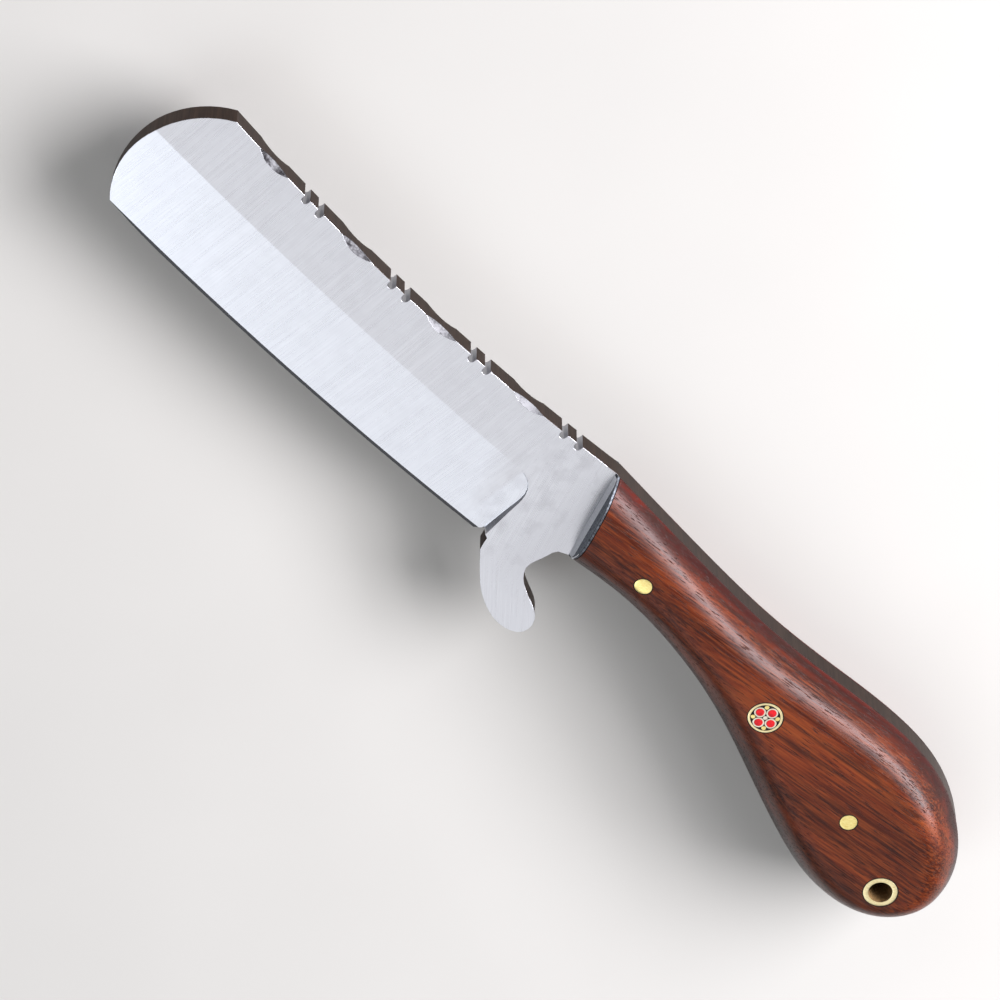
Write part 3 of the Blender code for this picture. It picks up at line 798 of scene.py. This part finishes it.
def dull_plate_steel():
    finish, tree = new_finish("pitted_plate_steel")
    pitted = add(tree, "ShaderNodeAttribute", "Fac", attribute_name="pitted")
    where = in_millimetres(tree, (2.6, 2.6, 2.6))
    scale = add(tree, NOISE, 0, {"Vector": where, "Scale": 1.0, "Detail": 5.0, "Roughness": 0.7})
    forge = add(tree, RANGE, 0, {0: scale, 1: 0.36, 2: 0.64})
    forge = add(tree, MIX, 2, {0: forge, 6: linear("#1D2024"), 7: linear("#75787F")}, **COLOURS)
    where = in_millimetres(tree, (0.3, 3.0, 3.0), FRONT_LEAN)
    lines = add(tree, NOISE, 0, {"Vector": where, **SATIN})
    foot = add(tree, MIX, 2, {0: lines, 6: linear("#C2C3C8"), 7: linear("#F2F2F5")}, **COLOURS)
    colour = add(tree, MIX, 2, {0: pitted, 6: foot, 7: forge}, **COLOURS)
    rough = add(tree, MIX, 0, {0: pitted, 2: 0.6, 3: 0.55})
    bare = add(tree, MIX, 0, {0: pitted, 2: 0.4, 3: 1.0})
    bump = add(tree, BUMP, 0, {"Height": scale, "Strength": 0.7, "Distance": 0.05 * MM})
    return coat(finish, Base_Color=colour, Roughness=rough, Normal=bump, Metallic=bare)


plate_steel = dull_plate_steel()
for word, side in SIDES.items():
    made_of(plate_piece(word, side), plate_steel, "grey_steel", f"{word}_front_plate")

# %% [markdown]
# ## Pins, tubes and rods
# All of these are lengths of round stock pushed through the handle and sanded flush with
# the wood. Each kind is turned once, as a half section spun about its axis. A node tree
# then sets out as many as are needed round a centre, and presses both ends of each to the
# curve of the wood with a raycast. In the turned stock a point's height only says how
# far it lies below the wood, counted from a nominal end.

# %% Turn round stock
NOMINAL_END = 10 * MM


def turned_stock(name, radius, bore=0.0, depth=0.0, segments=64, edge=0.04):
    """A rod, or a tube with a bore, sunk by depth below the wood, its corners broken."""
    outer = [(radius - edge, 0.0), (radius - edge * 0.3, edge * 0.3), (radius, edge)]
    if bore:
        lip = [(bore, edge * 2), (bore + edge * 0.6, edge * 0.5), (bore + edge * 1.6, 0.0)]
        section = lip + outer
    else:
        section = [(0.0, 0.0), (radius * 0.35, 0.0), (radius * 0.7, 0.0)] + outer
    ends = [(r, 1, d + depth) for r, d in section]
    ends += [(r, -1, d + depth) for r, d in reversed(section)]
    points, faces = [], []
    for r, end, down in ends:
        for step in range(segments):
            angle = math.tau * step / segments
            z = end * (NOMINAL_END - down * MM)
            points.append((r * MM * math.cos(angle), r * MM * math.sin(angle), z))
    rows = len(ends)
    for row in range(rows if bore else rows - 1):
        for i in range(segments):
            j = (i + 1) % segments
            a, b = row * segments, (row + 1) % rows * segments
            faces.append((a + i, a + j, b + j, b + i))
    return mesh_object(name, points, faces)


# %% Set out stock round a centre, flush with the wood
def setting_tree():
    tree = new_tree(
        "set_out_flush_stock", "Set Out", start="Geometry", stock="Object", wood="Object",
        finish="Material", centre="Vector", count="Int", reach="Float", turn="Float",
    )
    given = add(tree, "NodeGroupInput").outputs
    # A ring of points round the centre, each with a copy of the stock
    number = add(tree, "GeometryNodeInputIndex", 0)
    step = add(tree, MATH, 0, {0: math.tau, 1: given["Count"]}, operation="DIVIDE")
    angle = add(tree, MATH, 0, {0: number, 1: step, 2: given["Turn"]}, operation="MULTIPLY_ADD")
    arm = []
    for operation in ("COSINE", "SINE"):
        share = add(tree, MATH, 0, {0: angle}, operation=operation)
        arm.append(add(tree, MATH, 0, {0: share, 1: given["Reach"]}, operation="MULTIPLY"))
    arm = add(tree, JOIN, 0, {0: arm[0], 1: arm[1], 2: 0.0})
    place = add(tree, "ShaderNodeVectorMath", 0, {0: given["Centre"], 1: arm}, operation="ADD")
    points = add(tree, "GeometryNodePoints", 0, {"Count": given["Count"], "Position": place})
    stock = add(tree, "GeometryNodeObjectInfo", "Geometry", {"Object": given["Stock"]})
    copies = add(tree, "GeometryNodeInstanceOnPoints", 0, {"Points": points, "Instance": stock})
    real = add(tree, "GeometryNodeRealizeInstances", 0, {0: copies})
    # Each point then goes to the height of the wood over it, less its depth
    at = add(tree, SPLIT, inputs={0: add(tree, "GeometryNodeInputPosition", 0)}).outputs
    above = add(tree, JOIN, 0, {0: at["X"], 1: at["Y"], 2: cad_high.z + MM})
    wood = add(tree, "GeometryNodeObjectInfo", "Geometry", {"Object": given["Wood"]})
    ray = {"Target Geometry": wood, "Source Position": above, "Ray Direction": (0, 0, -1)}
    hit = add(tree, "GeometryNodeRaycast", "Hit Position", {**ray, "Ray Length": 1.0})
    top = add(tree, SPLIT, "Z", {0: hit})
    size = add(tree, MATH, 0, {0: at["Z"]}, operation="ABSOLUTE")
    down = add(tree, MATH, 0, {0: NOMINAL_END + MIDDLE_Z, 1: size}, operation="SUBTRACT")
    rise = add(tree, MATH, 0, {0: top, 1: down}, operation="SUBTRACT")
    end = add(tree, MATH, 0, {0: at["Z"]}, operation="SIGN")
    level = add(tree, MATH, 0, {0: rise, 1: end, 2: MIDDLE_Z}, operation="MULTIPLY_ADD")
    place = add(tree, JOIN, 0, {0: at["X"], 1: at["Y"], 2: level})
    flush = add(tree, "GeometryNodeSetPosition", 0, {"Geometry": real, "Position": place})
    last = add(tree, "GeometryNodeRealizeInstances", 0, {0: flush})
    dress = {"Geometry": last, "Material": given["Finish"]}
    dressed = add(tree, "GeometryNodeSetMaterial", 0, dress)
    add(tree, "NodeGroupOutput", inputs={0: dressed})
    return tree


setting = setting_tree()


def set_out(name, stock, centre, finish, count=1, reach=0.0, turn=0.0):
    """A finished piece: copies of a stock round a centre, both ends flush with the wood."""
    item = new_object(name, bpy.data.meshes.new(name))
    with_tree(
        item, setting, stock=stock, wood=undrilled, finish=finish, centre=tuple(centre),
        count=count, reach=reach * MM, turn=turn,
    )
    piece = baked(item)
    bpy.data.objects.remove(stock)
    return piece


# %% [markdown]
# ## Brass, nickel silver, resin and glue
# The pins are pale brass rod, cut, sanded and buffed with the wood, which leaves fine
# random scratches on their ends. The sleeves of the mosaic pin are nickel silver, its
# cores a solid red resin, and dark epoxy fills what is left. The inside of the thong
# tube is never polished: it goes dark brown.

# %% Small finishes
def buffed_metal(name, light, dark, roughness):
    """Metal with two sets of crossing scratches; a bore is left brown and uneven."""
    finish, tree = new_finish(name)
    scratches = []
    for scale, turn in (((9, 1.2, 1.2), 32), ((1.4, 8, 1.2), -20)):
        where = in_millimetres(tree, scale, math.radians(turn))
        scratches.append(add(tree, NOISE, 0, {"Vector": where, **SATIN}))
    both = add(tree, MATH, 0, {0: scratches[0], 1: scratches[1]}, operation="MULTIPLY")
    share = add(tree, RANGE, 0, {0: both, 1: 0.16, 2: 0.36})
    colour = add(tree, MIX, 2, {0: share, 6: linear(dark), 7: linear(light)}, **COLOURS)
    rough = add(tree, RANGE, 0, {0: both, 1: 0.1, 2: 0.4, 3: roughness, 4: roughness + 0.1})
    bore = add(tree, "ShaderNodeAttribute", "Fac", attribute_name="in_bore")
    colour = add(tree, MIX, 2, {0: bore, 6: colour, 7: linear("#6E5638")}, **COLOURS)
    rough = add(tree, MIX, 0, {0: bore, 2: rough, 3: 0.3})
    bare = add(tree, MATH, 0, {0: 1.0, 1: bore}, operation="SUBTRACT")
    grime = add(tree, NOISE, 0, {"Vector": in_millimetres(tree), "Scale": 1.1, "Detail": 3.0})
    depth = add(tree, MATH, 0, {0: grime, 1: bore}, operation="MULTIPLY")
    bump = add(tree, BUMP, 0, {"Height": depth, "Distance": 0.5 * MM})
    return coat(finish, Base_Color=colour, Roughness=rough, Normal=bump, Metallic=bare)


def cast_resin(name, light, dark, roughness, gloss):
    """Cast resin, a little cloudy and sanded flat."""
    finish, tree = new_finish(name)
    cloud = add(tree, NOISE, 0, {"Vector": in_millimetres(tree), "Scale": 1.5, "Detail": 3.0})
    cloud = add(tree, RANGE, 0, {0: cloud, 1: 0.3, 2: 0.7})
    colour = add(tree, MIX, 2, {0: cloud, 6: linear(dark), 7: linear(light)}, **COLOURS)
    speck = add(tree, NOISE, 0, {"Vector": in_millimetres(tree), "Scale": 7.0})
    rough = add(tree, RANGE, 0, {0: speck, 1: 0.3, 2: 0.7, 3: roughness, 4: roughness + 0.12})
    bump = add(tree, BUMP, 0, {"Height": speck, "Strength": 0.3, "Distance": 0.01 * MM})
    return coat(finish, Base_Color=colour, Roughness=rough, Normal=bump, Specular_IOR_Level=gloss)


brass = buffed_metal("buffed_pale_brass", "#F6E9A0", "#E4CB7C", 0.26)
tube_brass = buffed_metal("buffed_tube_brass", "#F3E7BA", "#DDCB96", 0.26)
nickel_silver = buffed_metal("buffed_nickel_silver", "#F0E8D6", "#D4CAB4", 0.26)
red_resin = cast_resin("red_resin", "#C4121A", "#8E0C12", 0.4, 0.25)
epoxy = cast_resin("dark_epoxy", "#1B120D", "#0E0907", 0.55, 0.2)
finishes = brass, tube_brass, nickel_silver, red_resin, epoxy
print("finishes:", ", ".join(finish.name for finish in finishes))

# %% Plain pins, the thong tube and the glue round them
GLUE_DEPTH = 0.02
HAIR = 0.005
TUBE_BORE = 2.2
TUBE_EDGE = 0.07
for node in ("front_pin", "rear_pin"):
    centre, radius = axis_of(node)
    pin = set_out(f"{node}_brass", turned_stock("rod", radius / MM), centre, brass)
    made_of(pin, brass, "brass", node)
centre, radius = axis_of("lanyard_tube")
tube = turned_stock("tube", radius / MM, TUBE_BORE, edge=TUBE_EDGE)
thong_tube = set_out("thong_tube_brass", tube, centre, tube_brass)
in_bore = thong_tube.data.attributes.new("in_bore", "FLOAT", "FACE")
reaches = [(Vector((*p.center.xy, 0)) - centre).length for p in thong_tube.data.polygons]
in_bore.data.foreach_set("value", [float(reach < (TUBE_BORE + 4 * HAIR) * MM) for reach in reaches])
made_of(thong_tube, tube_brass, "brass", "lanyard_tube")
for node in ROUND_PINS:
    centre, radius = axis_of(node)
    hole = (radius + HOLE_CLEARANCE) / MM
    ring = turned_stock("ring", hole - HAIR, radius / MM + HAIR, GLUE_DEPTH, edge=2 * HAIR)
    made_of(set_out(f"{node}_glue", ring, centre, epoxy), epoxy, "epoxy")

# %% [markdown]
# ## The mosaic pin
# A mosaic pin is a brass tube packed with smaller rods and tubes and filled with resin,
# then sliced. Here four nickel-silver sleeves hold red cores in a square, small brass rods
# sit in the gaps by the wall, and one rod is in the middle. The frame gives the square's
# turn and reach from where the first sleeve stands.

# %% Pack the mosaic pin
mosaic_centre, mosaic_radius = axis_of("mosaic_tube")
sleeve_centre, sleeve_radius = axis_of("mosaic_sleeve_1")
gap_centre, gap_radius = axis_of("mosaic_gap_rod_1")
sleeve_arm = sleeve_centre - mosaic_centre
gap_arm = gap_centre - mosaic_centre
middle_radius = axis_of("mosaic_centre_rod")[1]
SLEEVE_BORE = 0.78
MOSAIC_WALL = 0.45


def packing(name, stock, finish, arm=None):
    """One piece of the pin: a stock in its middle, or four of it round the middle."""
    if arm is None:
        return set_out(name, stock, mosaic_centre, finish)
    turn = math.atan2(arm.y, arm.x)
    return set_out(name, stock, mosaic_centre, finish, 4, arm.length / MM, turn)


tube = turned_stock("tube", mosaic_radius / MM, mosaic_radius / MM - MOSAIC_WALL)
sleeve = turned_stock("sleeve", sleeve_radius / MM, SLEEVE_BORE + 2 * HAIR, segments=40, edge=0.02)
core = turned_stock("core", SLEEVE_BORE, segments=40, edge=0.015)
gap_rod = turned_stock("gap_rod", gap_radius / MM, segments=24, edge=0.02)
middle_rod = turned_stock("middle_rod", middle_radius / MM, segments=24, edge=0.02)
for name, node, stock, finish, slot, arm in (
    ("mosaic_tube_brass", "mosaic_tube", tube, tube_brass, "brass", None),
    ("mosaic_sleeves", "mosaic_sleeve", sleeve, nickel_silver, "nickel_silver", sleeve_arm),
    ("mosaic_red_cores", "mosaic_red_core", core, red_resin, "red_resin", sleeve_arm),
    ("mosaic_gap_rods", "mosaic_gap_rod", gap_rod, brass, "brass", gap_arm),
    ("mosaic_middle_rod", "mosaic_centre_rod", middle_rod, nickel_silver, "nickel_silver", None),
):
    stands_for = [f"{node}_{n}" for n in range(1, 5)] if arm else [node]
    made_of(packing(name, stock, finish, arm), finish, slot, *stands_for)

# %% Fill the mosaic pin with dark resin
FILL_DEPTH = 0.05
fill_radius = mosaic_radius / MM - MOSAIC_WALL - 2 * HAIR
fill_stock = turned_stock("fill", fill_radius, depth=FILL_DEPTH, edge=2 * HAIR)
fill = packing("mosaic_dark_fill", fill_stock, epoxy)
rods = [(mosaic_centre, middle_radius)]
for quarter in range(4):
    turn = Matrix.Rotation(math.tau * quarter / 4, 3, "Z")
    rods.append((mosaic_centre + turn @ sleeve_arm, sleeve_radius))
    rods.append((mosaic_centre + turn @ gap_arm, gap_radius))
for rod_centre, rod_radius in rods:
    cutter = drill([(rod_centre, rod_radius + HAIR * MM)], 40)
    cut_by(fill, cutter)
    bpy.data.objects.remove(cutter)
made_of(fill, epoxy, "epoxy")

# %% [markdown]
# ## Epoxy films
# The glue between the tang and what lies on it shows all round the handle as a dark line
# a seventh of a millimetre wide. It is a thin slab on the same plan, a hair inside it.

# %% Glue lines along the tang
FILM_GAP = 0.01


def film_piece(word, side):
    low = MIDDLE_Z + side * (HALF_STEEL + FILM_GAP * MM)
    high = MIDDLE_Z + side * (SCALE_BASE - FILM_GAP * MM)
    item = slab(f"{word}_film", low, high)
    return cut_by(item, drills)


for word, side in SIDES.items():
    made_of(film_piece(word, side), epoxy, "epoxy", f"{word}_glue_film")

# %% [markdown]
# ## Clear the bench
# The drills, the drawn outline and the undrilled wood were only tools.

# %% Remove the tools
for tool in (drills, drawn_outline, undrilled):
    bpy.data.objects.remove(tool)

# %% [markdown]
# ## The bench, the light and the camera
# A plain pale bench and soft studio light. A wide panel hangs over the blade's edge side
# and gives the steel its even grey. A second one beyond it gives the grind its brighter
# tone, and a third lifts that towards the tip. A window of three bands, brightest at the
# bottom, stands low on the spine's side and draws the long highlight on the wood's
# shoulder. The camera looks down from the spine's side.

# %% Bench
BENCH_REACH = 1.6
BENCH_TOP = -0.02 * MM
bench_mesh = bpy.data.meshes.new("bench")
ends = -BENCH_REACH, BENCH_REACH
corners = [(x, y, BENCH_TOP) for x in ends for y in ends]
bench_mesh.from_pydata(corners, [], [(0, 2, 3, 1)])
bench = new_object("bench", bench_mesh)
bench_finish, bench_tree = new_finish("pale_matt_bench")
wash = add(bench_tree, NOISE, 0, {"Vector": in_millimetres(bench_tree), "Scale": 0.02})
wash = add(bench_tree, MIX, 2, {0: wash, 6: linear("#B2B0AC"), 7: linear("#B8B6B2")}, **COLOURS)
bench_mesh.materials.append(coat(bench_finish, Base_Color=wash, Roughness=0.9))
bench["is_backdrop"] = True

# %% Lights
WINDOW_AWAY = 0.9
WINDOW_WIDTH = 1.0
# Each band's lowest and highest angle over the bench, in degrees, and its radiance
WINDOW_BANDS = {"low": (17, 29, 30.0), "middle": (29, 42, 14.0), "high": (42, 56, 3.0)}
knife_middle = Vector((0, 0, MIDDLE_Z))


def panel(name, direction, distance, width, height, radiance, colour):
    """A soft panel facing the knife; radiance is what a mirror would show of it."""
    light = bpy.data.lights.new(name, "AREA")
    light.shape = "RECTANGLE"
    light.size, light.size_y = width, height
    light.energy = radiance * math.pi * width * height
    light.color = colour
    item = new_object(name, light)
    away = Vector(direction).normalized()
    item.location = knife_middle + away * distance
    item.rotation_euler = away.to_track_quat("Z", "Y").to_euler()
    print(name, "radiance", radiance)


panel("overhead_panel", (0.25, -0.51, 0.82), 0.79, 1.2, 0.9, 0.81, (0.99, 0.985, 0.99))
panel("grind_panel", (0.27, -0.75, 0.60), 0.9, 0.8, 0.48, 0.36, (0.8, 0.9, 1.0))
panel("tip_panel", (-0.10, -0.72, 0.69), 0.9, 0.5, 0.4, 1.8, (0.8, 0.9, 1.0))
for name, (low, high, radiance) in WINDOW_BANDS.items():
    rise = math.radians((low + high) / 2)
    toward = (0.50 * math.cos(rise), 0.866 * math.cos(rise), math.sin(rise))
    height = WINDOW_AWAY * math.radians(high - low)
    panel(f"window_{name}", toward, WINDOW_AWAY, WINDOW_WIDTH, height, radiance, (0.97, 0.96, 1.0))
world = bpy.data.worlds.new("studio")
world.use_nodes = True
world.node_tree.nodes["Background"].inputs["Color"].default_value = (0.21, 0.21, 0.22, 1)
bpy.context.scene.world = world
bpy.context.scene.view_settings.view_transform = "Standard"
bpy.context.scene.view_settings.look = "None"

# %% Camera
CAMERA_TURN = math.radians(47)
CAMERA_TILT = math.radians(31.5)
CAMERA_DISTANCE = 0.9
CAMERA_LENS = 183.06
aim = (cad_low + cad_high) / 2 + Vector((-11.21, -1.80, 0)) * MM
right = Vector((math.cos(CAMERA_TURN), math.sin(CAMERA_TURN), 0))
level_back = Vector((-math.sin(CAMERA_TURN), math.cos(CAMERA_TURN), 0))
back = Vector((0, 0, 1)) * math.cos(CAMERA_TILT) + level_back * math.sin(CAMERA_TILT)
upward = back.cross(right)
lens = bpy.data.cameras.new("camera")
lens.lens = CAMERA_LENS
lens.sensor_width = 36
camera = bpy.data.objects.new("camera", lens)
bpy.context.scene.collection.objects.link(camera)
turned = Matrix((right, upward, back)).transposed().to_4x4()
camera.matrix_world = Matrix.Translation(aim + back * CAMERA_DISTANCE) @ turned
bpy.context.scene.camera = camera

# %% [markdown]
# The visual model has to stay in the frame's box. Its box is measured here.

# %% Measure the box of the visual model
low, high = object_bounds()
